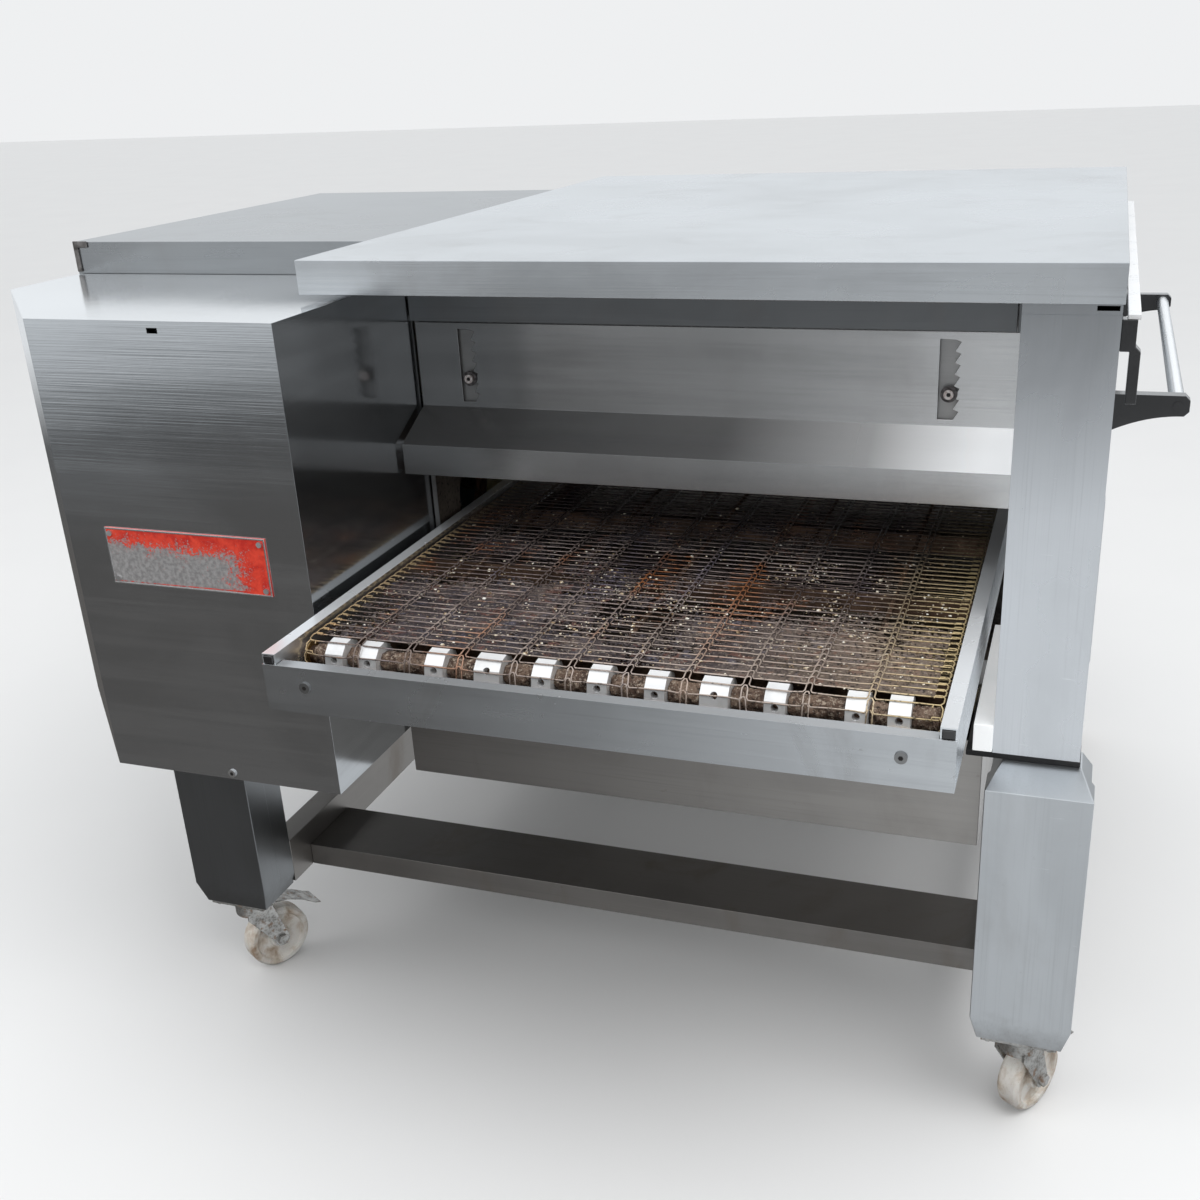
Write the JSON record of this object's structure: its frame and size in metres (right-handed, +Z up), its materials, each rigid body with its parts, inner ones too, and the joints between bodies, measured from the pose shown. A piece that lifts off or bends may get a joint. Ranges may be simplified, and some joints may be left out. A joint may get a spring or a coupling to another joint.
{
  "type": "conveyor pizza oven",
  "caption": "Free-standing conveyor pizza oven: a wire-mesh belt runs through a heated tunnel with height-set baffles, a drop-down side door and a wheeled stand.",
  "frame": {"origin": "on the floor, under the middle of the whole oven's outline", "axes": "+Z up, +X towards the door and its handle, -Y towards the near (outlet) end of the conveyor, +Y along the belt to the far end"},
  "size_m": [1.669, 1.785, 1.195],
  "materials": {
    "cover_steel": "brushed, scuffed",
    "casing_steel": "brushed, satin",
    "post_steel": "fine brushed, satin",
    "rail_steel": "bright folded steel",
    "stand_steel": "brushed, dull",
    "tunnel_steel": "heat-darkened, greasy",
    "belt_wire": "heat-tinted wire with baked-on crumbs",
    "dark_steel": "rusty, oily",
    "block_aluminium": "machined",
    "fastener_steel": "zinc plated",
    "bearing_bronze": "oiled",
    "badge_enamel": "worn red paint over grey metal",
    "black_plastic": "gloss black",
    "panel_plastic": "matt dark grey",
    "green_plastic": "translucent green cap",
    "red_plastic": "translucent red cap",
    "gasket_rubber": "matt",
    "wool": "mineral wool",
    "motor_paint": "satin enamel",
    "heater_alloy": "oxidised",
    "guard_enamel": "bright",
    "caster_zinc": "zinc plated, dirty",
    "wheel_nylon": "off-white, dirt-stained",
    "cable_rubber": "matt"
  },
  "bodies": {
    "oven": {"top_cover": "cover_steel", "tunnel_liner": "tunnel_steel", "insulation": "wool", "door_posts": "post_steel", "fascias": "casing_steel", "face_panels": "casing_steel", "belly_housing": "casing_steel", "drive_cabinet": "casing_steel", "electrics_cabinet": "casing_steel", "fan_housing": "casing_steel", "badge_plate": "badge_enamel", "panel_screws": "fastener_steel", "conveyor_rails": "rail_steel", "rail_end_caps": "black_plastic", "end_plates": "rail_steel", "belt": "belt_wire", "belt_supports": "dark_steel", "crumb_trays": "tunnel_steel", "filler_bars": "rail_steel", "base_gaskets": "gasket_rubber", "stand_legs": "stand_steel", "side_beams": "stand_steel", "stand_planks": "stand_steel", "edge_guard": "guard_enamel", "guard_brackets": "black_plastic", "air_ducts": "tunnel_steel", "heating_elements": "heater_alloy", "fan_motors": "motor_paint", "control_panel": "panel_plastic", "power_cable": "cable_rubber", "caster_plates": "caster_zinc", "gearmotor": "motor_paint", "drive_chain": "dark_steel", "shaft_bearings": "bearing_bronze", "baffle_clamp_screws": "fastener_steel"},
    "drive_roller": {"drive_shaft": "dark_steel", "drive_hubs": "block_aluminium", "drive_sprocket": "dark_steel"},
    "idler_roller": {"idler_shaft": "dark_steel", "idler_hubs": "block_aluminium"},
    "motor_output": {"motor_sprocket": "dark_steel"},
    "near_baffle": {"near_baffle": "casing_steel"},
    "far_baffle": {"far_baffle": "casing_steel"},
    "door": {"door": "casing_steel", "door_liner": "tunnel_steel", "door_handle": "rail_steel", "handle_brackets": "black_plastic"},
    "near_fan": {"near_fan": "tunnel_steel"},
    "far_fan": {"far_fan": "tunnel_steel"},
    "main_switch": {"main_switch": "black_plastic"},
    "start_button": {"start_button": "green_plastic"},
    "stop_button": {"stop_button": "red_plastic"},
    "near_right_caster": {"near_right_fork": "caster_zinc"},
    "near_right_wheel": {"near_right_wheel": "wheel_nylon"},
    "near_left_caster": {"near_left_fork": "caster_zinc"},
    "near_left_wheel": {"near_left_wheel": "wheel_nylon"},
    "far_right_caster": {"far_right_fork": "caster_zinc"},
    "far_right_wheel": {"far_right_wheel": "wheel_nylon"},
    "far_left_caster": {"far_left_fork": "caster_zinc"},
    "far_left_wheel": {"far_left_wheel": "wheel_nylon"}
  },
  "joints": [
    {"name": "drive_roller_spin", "type": "hinge", "parent": "oven", "child": "drive_roller", "pos_m": [0.1945, -0.806, 0.73], "axis": [1, 0, 0], "continuous": true},
    {"name": "idler_roller_spin", "type": "hinge", "parent": "oven", "child": "idler_roller", "pos_m": [0.1945, 0.806, 0.73], "axis": [1, 0, 0], "continuous": true},
    {"name": "motor_output_spin", "type": "hinge", "parent": "oven", "child": "motor_output", "pos_m": [-0.2555, -0.65, 0.73], "axis": [1, 0, 0], "continuous": true},
    {"name": "near_baffle_height", "type": "slide", "parent": "oven", "child": "near_baffle", "axis": [0, 0, 1], "range_m": [-0.065, 0.03]},
    {"name": "far_baffle_height", "type": "slide", "parent": "oven", "child": "far_baffle", "axis": [0, 0, 1], "range_m": [-0.065, 0.03]},
    {"name": "door_hinge", "type": "hinge", "parent": "oven", "child": "door", "pos_m": [0.7245, 0, 0.6], "axis": [0, 1, 0], "range_deg": [0, 90]},
    {"name": "near_fan_spin", "type": "hinge", "parent": "oven", "child": "near_fan", "pos_m": [-0.4055, -0.19, 0.77], "axis": [1, 0, 0], "continuous": true},
    {"name": "far_fan_spin", "type": "hinge", "parent": "oven", "child": "far_fan", "pos_m": [-0.4055, 0.19, 0.77], "axis": [1, 0, 0], "continuous": true},
    {"name": "near_right_swivel", "type": "hinge", "parent": "oven", "child": "near_right_caster", "pos_m": [0.6965, -0.581, 0.14], "axis": [0, 0, 1], "continuous": true},
    {"name": "near_right_roll", "type": "hinge", "parent": "near_right_caster", "child": "near_right_wheel", "pos_m": [0.71175, -0.55459, 0.054], "axis": [-0.866, 0.5, 0], "continuous": true},
    {"name": "near_left_swivel", "type": "hinge", "parent": "oven", "child": "near_left_caster", "pos_m": [-0.5535, -0.581, 0.14], "axis": [0, 0, 1], "continuous": true},
    {"name": "near_left_roll", "type": "hinge", "parent": "near_left_caster", "child": "near_left_wheel", "pos_m": [-0.53825, -0.55459, 0.054], "axis": [-0.866, 0.5, 0], "continuous": true},
    {"name": "far_right_swivel", "type": "hinge", "parent": "oven", "child": "far_right_caster", "pos_m": [0.6965, 0.581, 0.14], "axis": [0, 0, 1], "continuous": true},
    {"name": "far_right_roll", "type": "hinge", "parent": "far_right_caster", "child": "far_right_wheel", "pos_m": [0.71175, 0.60741, 0.054], "axis": [-0.866, 0.5, 0], "continuous": true},
    {"name": "far_left_swivel", "type": "hinge", "parent": "oven", "child": "far_left_caster", "pos_m": [-0.5535, 0.581, 0.14], "axis": [0, 0, 1], "continuous": true},
    {"name": "far_left_roll", "type": "hinge", "parent": "far_left_caster", "child": "far_left_wheel", "pos_m": [-0.53825, 0.60741, 0.054], "axis": [-0.866, 0.5, 0], "continuous": true},
    {"name": "main_switch_turn", "type": "hinge", "parent": "oven", "child": "main_switch", "pos_m": [-0.68764, 0.67285, 0.87], "axis": [-0.7071, 0.7071, 0], "range_deg": [0, 90]},
    {"name": "start_press", "type": "slide", "parent": "oven", "child": "start_button", "axis": [0.7071, -0.7071, 0], "range_m": [0, 0.004]},
    {"name": "stop_press", "type": "slide", "parent": "oven", "child": "stop_button", "axis": [0.7071, -0.7071, 0], "range_m": [0, 0.004]}
  ],
  "couplings": [
    {"joint": "idler_roller_spin", "follows": "drive_roller_spin", "ratio": 1},
    {"joint": "motor_output_spin", "follows": "drive_roller_spin", "ratio": 1}
  ]
}
